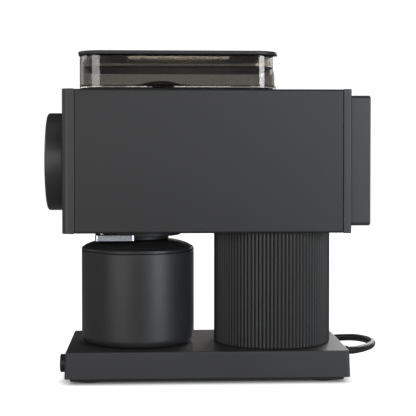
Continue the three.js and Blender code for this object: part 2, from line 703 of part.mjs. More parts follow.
add(hopper, 'hopper_seal', hopperFrame(0.5, 5, BODY_TOP + GAP, HOPPER_BOTTOM - GAP), RUBBER);
add(hopper, 'hopper_bin', hopperBin(), SMOKED_CLEAR);
add(hopper, 'finger_guard', fingerGuard(), BLACK_PLASTIC, 0, OUTLET_Y, 0);
add(hopper, 'hopper_lid', raised(hopperOutline(-LID_OVERHANG), LID_BOTTOM, LID_TOP, 4), BLACK_COAT);
add(hopper, 'lid_plug', lidPlug(), SMOKED_CLEAR);
add(hopper, 'lid_gasket', raised(hopperOutline(HOPPER_WALL + 0.4), PLUG_BOTTOM - 1.3, PLUG_BOTTOM - GAP, 3), RUBBER);

// ---------- mains cord ----------

// Hand-laid route of the free cord, from inside the base's rear wall to the coil on the surface.
const CORD_ROUTE = [
  [0, 100, 15], [0, 106, 15], [-0.4, 111.5, 14.9], [-3.2, 117.6, 14.6], [-9, 124, 14.4], [-18, 131.1, 14.2],
  [-29, 137, 14], [-45, 141.1, 13.4], [-62, 141.6, 12.4], [-78, 138.7, 11.4], [-92, 133.5, 10],
  [-104, 126, 8], [-113, 116.5, 6], [-119.5, 106.5, 4.5], [-123.5, 97.5, 3.7], [-125.8, 89.6, 3.5],
].map(([x, y, z]) => new THREE.Vector3(x, y, z));

// Hand-laid route of the cord's end, from the coil's outside to the back of the plug.
const TAIL_ROUTE = [
  [-115.5, 22.4, 8.9], [-108, 15.6, 8.6], [-100.5, 8.8, 8], [-95, 1.2, 7.3], [-92.5, -7, 7], [-92, -14, 7],
].map(([x, y, z]) => new THREE.Vector3(x, y, z));

function cordTube(route, startLength, sides, steps) {
  const whole = new THREE.CatmullRomCurve3(route);
  const start = startLength / whole.getLength();
  const kept = [];
  for (let i = 0; i <= 16; i += 1) kept.push(whole.getPointAt(start + (1 - start) * i / 16));
  const section = new THREE.Shape();
  for (let i = 0; i < sides; i += 1) {
    const angle = 2 * Math.PI * i / sides;
    const corner = [CORD_R * Math.cos(angle), CORD_R * Math.sin(angle)];
    if (i === 0) section.moveTo(...corner);
    else section.lineTo(...corner);
  }
  return new THREE.ExtrudeGeometry(section, { steps, extrudePath: new THREE.CatmullRomCurve3(kept) });
}

// A tapered sleeve turned about Y, then bent so that its axis follows the cord's route.
function strainRelief() {
  const profile = [[0, 0], [6.5, 0], [6.5, 2.6], [4.6, 2.6]];
  const rows = 6;
  for (let i = 0; i <= rows; i += 1) {
    profile.push([4.6 - 1.1 * i / rows, RELIEF_START + (RELIEF_END - RELIEF_START) * i / rows]);
  }
  profile.push([0, RELIEF_END]);
  const sleeve = turnedY(profile, 16);
  const route = new THREE.CatmullRomCurve3(CORD_ROUTE);
  const length = route.getLength();
  const corners = sleeve.attributes.position;
  for (let i = 0; i < corners.count; i += 1) {
    const along = corners.getY(i) / length;
    const centre = route.getPointAt(along);
    const forward = route.getTangentAt(along);
    const side = new THREE.Vector3().crossVectors(forward, new THREE.Vector3(0, 0, 1)).normalize();
    const up = new THREE.Vector3().crossVectors(side, forward);
    centre.addScaledVector(side, corners.getX(i)).addScaledVector(up, corners.getZ(i));
    corners.setXYZ(i, centre.x, centre.y, centre.z);
  }
  return sleeve;
}

const PLUG = { x: -92, front: -52, back: -14.3, halfWidth: 17.6, height: 14 };

function plugBody() {
  const outline = new THREE.Shape();
  outline.moveTo(-PLUG.halfWidth, PLUG.front);
  outline.lineTo(PLUG.halfWidth, PLUG.front);
  outline.lineTo(PLUG.halfWidth, PLUG.front + 14);
  outline.quadraticCurveTo(PLUG.halfWidth - 3, PLUG.front + 24, 5, PLUG.back);
  outline.lineTo(-5, PLUG.back);
  outline.quadraticCurveTo(-PLUG.halfWidth + 3, PLUG.front + 24, -PLUG.halfWidth, PLUG.front + 14);
  return raised(outline, 0, PLUG.height, 5);
}

const cord = group(grinder, 0, 0, 0);
add(cord, 'strain_relief', strainRelief(), RUBBER);
add(cord, 'power_cord', cordTube(CORD_ROUTE, RELIEF_END + 4 * GAP, 10, 28), RUBBER);
add(cord, 'cord_coil', turnedZ(ring(COIL.inner, COIL.outer, 0, COIL.height), 28), RUBBER, COIL.x, COIL.y, 0);
add(cord, 'cord_tail', cordTube(TAIL_ROUTE, 0, 10, 8), RUBBER);
add(cord, 'plug_body', plugBody(), BLACK_PLASTIC, PLUG.x, 0, 0);
for (const [number, x] of [[1, -9.5], [2, 9.5]]) {
  const pin = turnedY(rod(2.2, PLUG.front - 19, PLUG.front - GAP), 14);
  add(cord, `plug_pin_${number}`, pin, BRASS, PLUG.x + x, 0, PLUG.height / 2);
}

export default grinder;
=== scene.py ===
"""Electric flat-burr coffee grinder: a metal box on a fluted column and a weighted base."""

import math

import bmesh
import bpy
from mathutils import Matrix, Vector


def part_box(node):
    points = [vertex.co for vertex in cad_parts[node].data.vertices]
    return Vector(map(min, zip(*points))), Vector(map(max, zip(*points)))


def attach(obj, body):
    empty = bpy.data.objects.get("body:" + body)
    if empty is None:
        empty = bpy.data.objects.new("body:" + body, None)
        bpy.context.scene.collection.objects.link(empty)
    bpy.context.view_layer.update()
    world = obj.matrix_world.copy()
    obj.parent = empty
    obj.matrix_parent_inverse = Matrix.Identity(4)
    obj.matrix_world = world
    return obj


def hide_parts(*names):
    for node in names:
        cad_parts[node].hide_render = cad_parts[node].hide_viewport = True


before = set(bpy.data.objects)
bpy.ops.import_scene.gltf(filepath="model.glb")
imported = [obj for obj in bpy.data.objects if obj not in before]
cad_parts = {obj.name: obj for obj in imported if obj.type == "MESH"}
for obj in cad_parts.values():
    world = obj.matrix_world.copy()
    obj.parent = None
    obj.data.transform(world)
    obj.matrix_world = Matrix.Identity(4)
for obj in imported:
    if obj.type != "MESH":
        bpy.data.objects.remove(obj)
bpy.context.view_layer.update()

# ---- Studio ----
# A white table top in a pale surround, lit by soft boxes left, right and above the camera, a strip behind
# the hopper, one box overhead, and weak fills on the dial and on the back. The camera looks along -X at
# the grinder's right side, from a little above the middle of its height.

CAMERA_PLACE = (0.8890, -0.0397, 0.1731)
CAMERA_TURN = math.radians(2.704)
CAMERA_TILT = math.radians(-1.478)
CAMERA_LENS = 98.13
CAMERA_SHIFT = -0.0673
TABLE_WIDTH = 8.0
CONTACT_SHADE = 0.009
HALF_HEIGHT = (0, 0, 0.13)
HOPPER_FOOT = (0, -0.008, 0.22)


def studio_table():
    """White wherever it is seen, and darker only where something close above keeps the light off it."""
    mesh = bmesh.new()
    bmesh.ops.create_grid(mesh, x_segments=8, y_segments=8, size=TABLE_WIDTH / 2)
    data = bpy.data.meshes.new("table_top")
    mesh.to_mesh(data)
    mesh.free()
    table = bpy.data.objects.new("table_top", data)
    bpy.context.scene.collection.objects.link(table)
    material = bpy.data.materials.new("white table")
    material.use_nodes = True
    nodes, links = material.node_tree.nodes, material.node_tree.links
    shader = nodes["Principled BSDF"]
    shader.inputs["Base Color"].default_value = (0.45, 0.45, 0.45, 1)
    shader.inputs["Roughness"].default_value = 0.9
    shader.inputs["Specular IOR Level"].default_value = 0.1
    shader.inputs["Emission Color"].default_value = (1, 1, 1, 1)
    openness = nodes.new("ShaderNodeAmbientOcclusion")
    openness.inputs["Distance"].default_value = CONTACT_SHADE
    seen = nodes.new("ShaderNodeLightPath")
    glow = nodes.new("ShaderNodeMath")
    glow.operation = "MULTIPLY"
    links.new(openness.outputs["AO"], glow.inputs[0])
    links.new(seen.outputs["Is Camera Ray"], glow.inputs[1])
    links.new(glow.outputs["Value"], shader.inputs["Emission Strength"])
    data.materials.append(material)


def soft_box(name, place, width, height, power, colour=(1, 1, 1), aim=HALF_HEIGHT):
    light = bpy.data.lights.new(name, "AREA")
    light.color = colour
    light.shape = "RECTANGLE"
    light.size = width
    light.size_y = height
    light.energy = power
    lamp = bpy.data.objects.new(name, light)
    lamp.location = place
    lamp.rotation_euler = (Vector(aim) - Vector(place)).to_track_quat("-Z", "Y").to_euler()
    bpy.context.scene.collection.objects.link(lamp)


def surround():
    """The backdrop is white where it is seen, also through the bin, and gives only a dim, even light."""
    world = bpy.data.worlds.new("studio surround")
    bpy.context.scene.world = world
    world.use_nodes = True
    nodes, links = world.node_tree.nodes, world.node_tree.links
    backdrop = nodes["Background"]
    backdrop.inputs["Color"].default_value = (1, 1, 1, 1)
    way = nodes.new("ShaderNodeLightPath")
    through = nodes.new("ShaderNodeMath")
    through.operation = "MULTIPLY"
    through.inputs[1].default_value = 0.75
    seen = nodes.new("ShaderNodeMath")
    seen.operation = "MAXIMUM"
    strength = nodes.new("ShaderNodeMapRange")
    strength.inputs["To Min"].default_value = 0.06
    strength.inputs["To Max"].default_value = 1.05
    links.new(way.outputs["Is Transmission Ray"], through.inputs[0])
    links.new(way.outputs["Is Camera Ray"], seen.inputs[0])
    links.new(through.outputs["Value"], seen.inputs[1])
    links.new(seen.outputs["Value"], strength.inputs["Value"])
    links.new(strength.outputs["Result"], backdrop.inputs["Strength"])


studio_table()
surround()
soft_box("left_box", (1.22, -0.88, 0.12), 1.05, 0.60, 9, (1.0, 0.98, 0.97))
soft_box("right_box", (1.02, 0.90, 0.12), 0.60, 0.60, 12, (0.92, 0.96, 1.0))
soft_box("front_box", (1.50, 0.35, 0.62), 0.90, 0.25, 6, (0.97, 0.98, 1.0))
soft_box("back_strip", (-0.60, -0.008, 0.186), 0.132, 0.016, 0.035, (1.0, 0.92, 0.86), HOPPER_FOOT)
soft_box("overhead_box", (0.1, 0.0, 1.4), 1.0, 1.0, 1)
soft_box("dial_fill", (-0.25, -1.50, 0.60), 0.90, 0.50, 4)
soft_box("rear_fill", (-1.30, 0.75, 0.60), 0.90, 0.60, 12)

lens = bpy.data.cameras.new("side_view")
lens.sensor_width = 36
lens.lens = CAMERA_LENS
lens.shift_y = CAMERA_SHIFT
camera = bpy.data.objects.new("side_view", lens)
camera.location = CAMERA_PLACE
camera.rotation_euler = (math.pi / 2 + CAMERA_TILT, 0, math.pi / 2 - CAMERA_TURN)
bpy.context.scene.collection.objects.link(camera)
bpy.context.scene.camera = camera
bpy.context.scene.view_settings.view_transform = "Standard"

# ---- Rubber feet ----
# Four low pads glued under the base plate. They are moulded black rubber, dulled by wear, with a
# rounded lower edge and a shallow dished sole.

FOOT_EDGE = 0.0005
SHARP_EDGE = 35


def surface_grain():
    """Node group: a fine bump height, and a broad mottle between 0 and 1, in object space."""
    group = bpy.data.node_groups.new("surface grain", "ShaderNodeTree")
    group.interface.new_socket("Fine Scale", in_out="INPUT", socket_type="NodeSocketFloat")
    group.interface.new_socket("Broad Scale", in_out="INPUT", socket_type="NodeSocketFloat")
    group.interface.new_socket("Height", in_out="OUTPUT", socket_type="NodeSocketFloat")
    group.interface.new_socket("Mottle", in_out="OUTPUT", socket_type="NodeSocketFloat")
    nodes, links = group.nodes, group.links
    given = nodes.new("NodeGroupInput")
    result = nodes.new("NodeGroupOutput")
    place = nodes.new("ShaderNodeTexCoord")
    fine = nodes.new("ShaderNodeTexNoise")
    fine.inputs["Detail"].default_value = 3
    fine.inputs["Roughness"].default_value = 0.6
    broad = nodes.new("ShaderNodeTexNoise")
    broad.inputs["Detail"].default_value = 4
    for texture, scale in ((fine, "Fine Scale"), (broad, "Broad Scale")):
        links.new(place.outputs["Object"], texture.inputs["Vector"])
        links.new(given.outputs[scale], texture.inputs["Scale"])
    links.new(fine.outputs["Fac"], result.inputs["Height"])
    links.new(broad.outputs["Fac"], result.inputs["Mottle"])
    return group


SURFACE_GRAIN = surface_grain()


def grained(name, dark, light, rough, fine=2500, broad=30, bump=0.00004, spread=0.08,
            metallic=0.0, gleam=0.5):
    """A coated or moulded finish: two close shades, a fine tooth and a slightly uneven gloss."""
    material = bpy.data.materials.new(name)
    material.use_nodes = True
    nodes, links = material.node_tree.nodes, material.node_tree.links
    shader = nodes["Principled BSDF"]
    shader.inputs["Metallic"].default_value = metallic
    shader.inputs["Specular IOR Level"].default_value = gleam
    grain = nodes.new("ShaderNodeGroup")
    grain.node_tree = SURFACE_GRAIN
    grain.inputs["Fine Scale"].default_value = fine
    grain.inputs["Broad Scale"].default_value = broad
    shades = nodes.new("ShaderNodeMix")
    shades.data_type = "RGBA"
    shades.inputs["A"].default_value = (*dark, 1)
    shades.inputs["B"].default_value = (*light, 1)
    gloss = nodes.new("ShaderNodeMapRange")
    gloss.inputs["From Min"].default_value = 0.3
    gloss.inputs["From Max"].default_value = 0.7
    gloss.inputs["To Min"].default_value = rough - spread / 2
    gloss.inputs["To Max"].default_value = rough + spread / 2
    tooth = nodes.new("ShaderNodeBump")
    tooth.inputs["Strength"].default_value = 0.6
    tooth.inputs["Distance"].default_value = bump
    links.new(grain.outputs["Mottle"], shades.inputs["Factor"])
    links.new(grain.outputs["Mottle"], gloss.inputs["Value"])
    links.new(grain.outputs["Height"], tooth.inputs["Height"])
    links.new(shades.outputs["Result"], shader.inputs["Base Color"])
    links.new(gloss.outputs["Result"], shader.inputs["Roughness"])
    links.new(tooth.outputs["Normal"], shader.inputs["Normal"])
    return material


def circle(radius, count=64):
    return [(radius * math.cos(math.tau * i / count), radius * math.sin(math.tau * i / count))
            for i in range(count)]


def skin(name, rings, closed=False):
    """A smooth surface through rings of equal length: a loop if closed, or else with flat end faces."""
    mesh = bmesh.new()
    rows = [[mesh.verts.new(point) for point in ring] for ring in rings]
    pairs = list(zip(rows, rows[1:]))
    if closed:
        pairs.append((rows[-1], rows[0]))
    else:
        mesh.faces.new(rows[0])
        mesh.faces.new(rows[-1])
    for low, high in pairs:
        for i in range(len(low)):
            j = (i + 1) % len(low)
            mesh.faces.new((low[i], low[j], high[j], high[i]))
    bmesh.ops.recalc_face_normals(mesh, faces=mesh.faces)
    data = bpy.data.meshes.new(name)
    mesh.to_mesh(data)
    mesh.free()
    data.shade_smooth()
    data.set_sharp_from_angle(angle=math.radians(SHARP_EDGE))
    piece = bpy.data.objects.new(name, data)
    bpy.context.scene.collection.objects.link(piece)
    return piece


def turned(name, profile, centre, count=64, along="Z", closed=False):
    """A turned piece from (radius, height) pairs, about an axis along Z or Y through centre."""
    rings = []
    for radius, height in profile:
        if along == "Z":
            rings.append([(centre[0] + a, centre[1] + b, height) for a, b in circle(radius, count)])
        else:
            rings.append([(centre[0] + a, height, centre[2] + b) for a, b in circle(radius, count)])
    return skin(name, rings, closed)


def bend(radius, centre_r, centre_h, start, end, steps=5):
    """The rounded stretch of a turned profile: an arc from start to end, in degrees."""
    angles = [math.radians(start + (end - start) * i / steps) for i in range(steps + 1)]
    return [(centre_r + radius * math.cos(a), centre_h + radius * math.sin(a)) for a in angles]


def fit(piece, material, slot, body, *nodes):
    """Gives a piece its finish, even shading over its flats, its body and the CAD nodes it stands for."""
    piece.data.materials.clear()
    piece.data.materials.append(material)
    if piece.type == "MESH":
        evened = piece.modifiers.new("even shading", "WEIGHTED_NORMAL")
        evened.keep_sharp = True
    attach(piece, body)
    if nodes:
        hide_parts(*nodes)
    return piece


def middle(node):
    low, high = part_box(node)
    return (low + high) / 2


RUBBER = grained("black rubber", (0.010, 0.010, 0.010), (0.018, 0.018, 0.017), 0.78,
                 fine=1800, bump=0.00006)

for number in range(1, 5):
    node = f"rubber_foot_{number}"
    low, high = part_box(node)
    radius = (high.x - low.x) / 2
    foot = turned(f"foot_pad_{number}", [
        (radius * 0.55, low.z + 0.0002),
        (radius * 0.62, low.z),
        *bend(FOOT_EDGE, radius - FOOT_EDGE, low.z + FOOT_EDGE, -90, 0, 3),
        (radius, high.z),
    ], middle(node), 48)
    fit(foot, RUBBER, "rubber", "stand", node)

# ---- Base plate ----
# A moulded black tray that closes the base from below, set in from its edges, with its upper lip inside
# the base. Four countersunk screws hold it.

PLATE_EDGE = 0.0004
PLATE_INSET = 0.0020
LIP_HEIGHT = 0.0026
SCREW_SIDE, SCREW_END = 0.040, 0.060
TRAY_SCREW_HEAD = 0.0028
SCREW_HEAD = 0.0032
SCREW_SINK = 0.0012


def rounded(width, depth, corners, inset=0.0, steps=6):
    """Points round a rectangle with rounded corners, pulled in by inset. corners is one radius or four."""
    radii = corners if isinstance(corners, tuple) else (corners,) * 4
    points = []
    for quarter, corner in enumerate(radii):
        radius = max(corner - inset, 0.00015)
        side_x = 1 if quarter in (0, 3) else -1
        side_y = 1 if quarter in (0, 1) else -1
        centre_x = side_x * (width / 2 - inset - radius)
        centre_y = side_y * (depth / 2 - inset - radius)
        for step in range(steps + 1):
            angle = math.pi / 2 * (quarter + step / steps)
            points.append((centre_x + radius * math.cos(angle), centre_y + radius * math.sin(angle)))
    return points


def broken_edge(radius, steps=3):
    """(inset, rise) pairs from a flat end face round the edge to the side."""
    angles = [math.pi / 2 * i / steps for i in range(steps + 1)]
    return [(radius * (1 - math.sin(a)), radius * (1 - math.cos(a))) for a in angles]


def slab_levels(low, high, edge):
    """(height, inset) of each ring of a slab whose two end faces have rounded edges."""
    below = [(low + rise, inset) for inset, rise in broken_edge(edge)]
    above = [(high - rise, inset) for inset, rise in reversed(broken_edge(edge))]
    return below + above


def slab(name, low, high, corners, edge, steps=6):
    """An upright slab in the box from low to high, its outline seen from above rounded at its corners."""
    centre = (low + high) / 2
    size = high - low
    rings = []
    for height, inset in slab_levels(low.z, high.z, edge):
        outline = rounded(size.x, size.y, corners, inset, steps)
        rings.append([(centre.x + x, centre.y + y, height) for x, y in outline])
    return skin(name, rings)


MOULDED = grained("moulded black plastic", (0.009, 0.009, 0.009), (0.014, 0.014, 0.0145), 0.5, fine=2200)
SCREW_STEEL = grained("blackened screw steel", (0.05, 0.05, 0.052), (0.09, 0.09, 0.095), 0.38, metallic=0.9)

plate_low, plate_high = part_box("base_plate")
tray_low = plate_low + Vector((PLATE_INSET, 0, 0))
tray_high = plate_high - Vector((PLATE_INSET, 0, LIP_HEIGHT - 0.0002))
tray = slab("bottom_tray", tray_low, tray_high, 0.003, PLATE_EDGE)
lip_low = Vector((plate_low.x, plate_low.y + 0.0004, plate_high.z - LIP_HEIGHT))
lip = slab("bottom_tray_lip", lip_low, plate_high, 0.002, PLATE_EDGE)
fit(tray, MOULDED, "black_plastic", "stand", "base_plate")
fit(lip, MOULDED, "black_plastic", "stand")


def screw(name, place, facing, radius=SCREW_HEAD):
    """A low pan head with a hexagonal socket, its face pointing along facing."""
    dome = [
        (radius * 0.45, 0.0004),
        (radius * 0.45, 0.0016),
        *bend(radius * 0.35, radius * 0.65, 0.0010, 80, 0, 4),
        (radius, 0.0),
    ]
    rings = []
    for index, (reach, height) in enumerate(dome):
        ring = circle(reach, 24)
        if index < 2:
            ring = [(x * flat, y * flat) for (x, y), flat in zip(ring, HEX_FLATS)]
        rings.append([(x, y, height) for x, y in ring])
    head = skin(name, rings)
    head.rotation_euler = Vector(facing).to_track_quat("Z", "Y").to_euler()
    head.location = place
    return head


HEX_FLATS = [math.cos(math.pi / 6) / math.cos(math.tau * (i % 4) / 24 - math.pi / 6) for i in range(24)]

for side in (-1, 1):
    for end in (-1, 1):
        place = (side * SCREW_SIDE, end * SCREW_END, plate_low.z + SCREW_SINK)
        plate_screw = screw(f"tray_screw_{side + 1}{end + 1}", place, (0, 0, -1), TRAY_SCREW_HEAD)
        fit(plate_screw, SCREW_STEEL, "steel", "stand")

# ---- Base housing ----
# A die-cast aluminium cover over the weight and the wiring, powder coated matt black. Its ends lean in a
# little, its edges are broken, and it is bored for the power button and the cord.

BASE_CORNER = 0.0024
BASE_EDGE = 0.0009
BASE_WALL = 0.0025
BASE_DRAFT = 0.0008
BUTTON_BORE = 0.00705
CORD_BORE = 0.0050
CORD_EXIT_HEIGHT = 0.015


def bored(piece, *cutters):
    """Cuts the cutters out of the piece and puts them away."""
    for cutter in cutters:
        hole = piece.modifiers.new("bore", "BOOLEAN")
        hole.operation = "DIFFERENCE"
        hole.solver = "EXACT"
        hole.object = cutter
    bpy.context.view_layer.update()
    whole = piece.evaluated_get(bpy.context.evaluated_depsgraph_get())
    data = bpy.data.meshes.new_from_object(whole)
    piece.modifiers.clear()
    piece.data = data
    data.set_sharp_from_angle(angle=math.radians(SHARP_EDGE))
    for cutter in cutters:
        bpy.data.objects.remove(cutter)
    return piece


def drill(radius, start, end, centre, along="Z"):
    return turned("drill", [(radius, start), (radius, end)], centre, 48, along)


def base_housing():
    low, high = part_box("base_shell")
    width, length, height = high - low

    def ring(z, inset):
        lean = 2 * BASE_DRAFT * (z - low.z) / height
        return [(x, y, z) for x, y in rounded(width, length - lean, BASE_CORNER, inset)]

    ceiling = high.z - BASE_WALL
    rings = [ring(ceiling, BASE_WALL), ring(low.z, BASE_WALL)]
    rings += [ring(low.z + rise, inset) for inset, rise in broken_edge(0.0004)]
    rings += [ring(high.z - rise, inset) for inset, rise in reversed(broken_edge(BASE_EDGE, 4))]
    return skin("base_housing", rings)


POWDER_COAT = grained("matt black powder coat", (0.0165, 0.0166, 0.0176), (0.0195, 0.0197, 0.0210), 0.46,
                      fine=2600, broad=14, bump=0.00005, spread=0.07)
CAST_COAT = grained("powder coat on castings", (0.031, 0.0312, 0.0328), (0.036, 0.0363, 0.0382), 0.46,
                    fine=2600, broad=14, bump=0.00005, spread=0.07)

button_place = middle("power_button")
housing = base_housing()
bored(housing,
      drill(BUTTON_BORE, -0.12, -0.09, button_place, "Y"),
      drill(CORD_BORE, 0.09, 0.12, Vector((0, 0, CORD_EXIT_HEIGHT)), "Y"))
fit(housing, CAST_COAT, "coat", "stand", "base_shell")

# ---- Power button ----
# A round push button on the right of the base's front, turned from black aluminium, with a rounded rim,
# a shallow dish in its face and a step behind the wall that keeps it in.

BUTTON_RIM = 0.0009


def push_button():
    low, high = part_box("power_button")
    radius = BUTTON_BORE - 0.0003
    face = low.y
    return turned("push_button", [
        (0.0020, face + 0.00055),
        (0.0042, face + 0.00045),
        *bend(0.0005, radius - BUTTON_RIM - 0.0005, face + 0.0005, 225, 270, 3),
        *bend(BUTTON_RIM, radius - BUTTON_RIM, face + BUTTON_RIM, -90, 0, 5),
        (radius, high.y - 0.0060),
        (0.0030, high.y - 0.0060),
        (0.0030, high.y),
    ], button_place, 64, "Y")


ANODISED = grained("satin black anodising", (0.026, 0.0262, 0.0270), (0.031, 0.0313, 0.0322), 0.42,
                   fine=4200, broad=22, bump=0.00002, spread=0.06, metallic=0.2, gleam=0.5)
# A lighter, more metallic copy of the satin anodising, for the dial only: painted sheen standing in for the
# light on the middle of its rim.
SHEEN_LIGHTENED_DIAL_BLACK = grained("dial anodising lightened as painted sheen", (0.060, 0.0605, 0.061), (0.070, 0.0705, 0.071), 0.40,
                     fine=4200, broad=22, bump=0.00002, spread=0.06, metallic=0.5)

fit(push_button(), ANODISED, "anodised", "button", "power_button")

# ---- Column ----
# A round aluminium extrusion between base and body, bead blasted and anodised black, with ninety-six
# fine flutes all round. The wires run up inside it.

FLUTES = 96
FLUTE_DEPTH = 0.0013
FLUTE_STEPS = 8
COLUMN_EDGE = 0.0004


def fluted(radius, depth):
    """A circle of evenly spaced rounded ribs with sharp narrow grooves between them."""
    points = []
    count = FLUTES * FLUTE_STEPS
    for i in range(count):
        crest = abs(math.sin(math.pi * i / FLUTE_STEPS)) ** 0.8
        reach = radius - depth * (1 - crest)
        points.append((reach * math.cos(math.tau * i / count), reach * math.sin(math.tau * i / count)))
    return points


def fluted_column():
    low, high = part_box("column")
    centre = (low + high) / 2
    radius = (high.x - low.x) / 2
    levels = [
        (low.z, COLUMN_EDGE),
        (low.z + COLUMN_EDGE, 0),
        (high.z - COLUMN_EDGE, 0),
        (high.z, COLUMN_EDGE),
    ]
    rings = []
    for z, inset in levels:
        rings.append([(centre.x + x, centre.y + y, z) for x, y in fluted(radius - inset, FLUTE_DEPTH)])
    return skin("fluted_column", rings)


COLUMN_BLACK = grained("blasted black anodising", (0.022, 0.022, 0.0223), (0.027, 0.027, 0.0274), 0.50,
                       fine=3200, broad=18, bump=0.00003, gleam=0.45)

fit(fluted_column(), COLUMN_BLACK, "anodised", "stand", "column")

# ---- Body ----
# A square aluminium extrusion, open at both ends, powder coated. Its long edges are broken and it is
# pierced above for the feed throat and below for the chute.

BODY_CORNER = 0.0018
BODY_WALL = 0.0024
FEED_BORE = 0.0159
CHUTE_BORE = 0.0215


def body_tube():
    low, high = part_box("body_shell")
    centre = (low + high) / 2
    size = high - low
    rings = []
    for y, inset in slab_levels(low.y, high.y, 0.0003):
        outline = rounded(size.x, size.z, BODY_CORNER, inset)
        rings.append([(x, y, centre.z + z) for x, z in outline])
    for y in (high.y, low.y):
        outline = rounded(size.x, size.z, BODY_CORNER, BODY_WALL)
        rings.append([(x, y, centre.z + z) for x, z in outline])
    return skin("body_tube", rings, closed=True)


tube = body_tube()
bored(tube,
      drill(FEED_BORE, 0.200, 0.240, middle("feed_throat")),
      drill(CHUTE_BORE, 0.100, 0.120, middle("chute")))
fit(tube, POWDER_COAT, "coat", "stand", "body_shell")

# ---- Front cap ----
# A thick cast plate that closes the body behind the dial. It stands slightly proud of the body all round,
# and its two upright front edges are well rounded.

FRONT_EDGE = 0.0050
CAP_EDGE = 0.0006
NUT_BORE = 0.0126
CAP_GAP = 0.0004

cap_low, cap_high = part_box("front_cap")
cap_low.z += CAP_GAP
cap_high.z -= CAP_GAP
front_plate = slab("front_plate", cap_low, cap_high, (0.0005, 0.0005, FRONT_EDGE, FRONT_EDGE), CAP_EDGE, 8)
bored(front_plate, drill(NUT_BORE, cap_low.y - 0.01, cap_high.y + 0.01, middle("adjust_dial"), "Y"))
fit(front_plate, CAST_COAT, "coat", "stand", "front_cap")

# ---- Grind dial ----
# A broad black aluminium disc on the adjuster nut, with a chamfered rim and a fine groove round its face.
# White ticks and numbers are printed on the face, and a dot on the cap marks the setting.

DIAL_CHAMFER = 0.0009
DIAL_TICKS = 40
DIAL_NUMBERS = 10
NUMBER_RING = 0.0285
NUMBER_HEIGHT = 0.0050
TICK_OUTER, TICK_LONG, TICK_SHORT = 0.0360, 0.0325, 0.0340
TICK_HALF_WIDTH = 0.00018
PRINT_SUNK, PRINT_PROUD = 0.00005, 0.0001
INDEX_RISE = 0.0045

WHITE_PRINT = grained("white print", (0.55, 0.55, 0.54), (0.66, 0.66, 0.65), 0.6, bump=0.00001)

dial_low, dial_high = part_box("adjust_dial")
dial_middle = middle("adjust_dial")
dial_radius = (dial_high.x - dial_low.x) / 2


def dial_disc():
    face, back = dial_low.y, dial_high.y
    return turned("dial_disc", [
        (0.0100, face + 0.0003),
        (0.0220, face + 0.0003),
        (0.0223, face + 0.0008),
        (0.0229, face + 0.0008),
        (0.0232, face),
        (dial_radius - DIAL_CHAMFER - 0.0003, face),
        *bend(0.0004, dial_radius - DIAL_CHAMFER - 0.0003, face + 0.0004, -90, -45, 2),
        *bend(0.0004, dial_radius - 0.0004, face + DIAL_CHAMFER + 0.0003, -45, 0, 2),
        (dial_radius, back - 0.0006),
        (dial_radius - 0.0006, back),
        (0.0340, back),
        (0.0335, face + 0.0040),
        (0.0180, face + 0.0040),
        (0.0180, back - 0.0006),
        (0.0123, back - 0.0006),
        (0.0123, face + 0.0040),
    ], dial_middle, 128, "Y")


def dial_ticks():
    """Short radial bars, every fourth one longer, 0.1 mm proud of the face."""
    mesh = bmesh.new()
    for i in range(DIAL_TICKS):
        angle = math.tau * i / DIAL_TICKS
        out = Vector((math.sin(angle), 0, math.cos(angle)))
        side = Vector((math.cos(angle), 0, -math.sin(angle))) * TICK_HALF_WIDTH
        inner = TICK_LONG if i % 4 == 0 else TICK_SHORT
        corners = []
        for y in (dial_low.y - PRINT_SUNK, dial_low.y + PRINT_PROUD):
            for reach, way in ((inner, -1), (inner, 1), (TICK_OUTER, 1), (TICK_OUTER, -1)):
                point = out * reach + side * way
                corners.append(mesh.verts.new((point.x, y, dial_middle.z + point.z)))
        mesh.faces.new(corners[:4])
        mesh.faces.new(corners[4:])
        for a in range(4):
            b = (a + 1) % 4
            mesh.faces.new((corners[a], corners[b], corners[b + 4], corners[a + 4]))
    bmesh.ops.recalc_face_normals(mesh, faces=mesh.faces)
    data = bpy.data.meshes.new("dial_ticks")
    mesh.to_mesh(data)
    mesh.free()
    ticks = bpy.data.objects.new("dial_ticks", data)
    bpy.context.scene.collection.objects.link(ticks)
    return ticks


def dial_number(number):
    """A printed figure, upright at the top of the dial and turned with its place."""
    text = bpy.data.curves.new(f"dial_number_{number}", "FONT")
    text.body = str(number)
    text.size = NUMBER_HEIGHT
    text.align_x = "CENTER"
    text.align_y = "CENTER"
    text.extrude = 0.00005
    figure = bpy.data.objects.new(f"dial_number_{number}", text)
    angle = math.tau * number / DIAL_NUMBERS
    across, up = NUMBER_RING * math.sin(angle), NUMBER_RING * math.cos(angle)
    figure.location = (across, dial_low.y - 0.00002, dial_middle.z + up)
    figure.rotation_euler = (math.pi / 2, angle, 0)
    bpy.context.scene.collection.objects.link(figure)
    return figure


# The dial gets the lightened anodising, a painted sheen on its rim.
fit(dial_disc(), SHEEN_LIGHTENED_DIAL_BLACK, "anodised", "dial", "adjust_dial")
fit(dial_ticks(), WHITE_PRINT, "anodised", "dial")
for number in range(DIAL_NUMBERS):
    fit(dial_number(number), WHITE_PRINT, "anodised", "dial")
index_centre = (0, 0, dial_middle.z + dial_radius + INDEX_RISE)
index_profile = [(0.0007, cap_low.y - PRINT_SUNK), (0.0009, cap_low.y + PRINT_PROUD)]
index_dot = turned("index_dot", index_profile, index_centre, 24, "Y")
fit(index_dot, WHITE_PRINT, "coat", "stand")

# ---- Rear cap and vent cover ----
# A thinner cast plate with a slotted grille closes the back. A shallow box with louvre slots stands over
# the grille, held by four screws, so that the fan can blow out behind the machine.

SLOT_HEIGHT = 0.0040
SLOT_PITCH = 0.0100
GRILLE_HEIGHT = 0.005
GRILLE_PITCH = 0.011
COVER_WALL = 0.0020
COVER_CORNER = 0.0030
COVER_SCREW_SIDE = 0.0405
COVER_SCREW_RISE = 0.008
COVER_SCREW_SINK = 0.0014


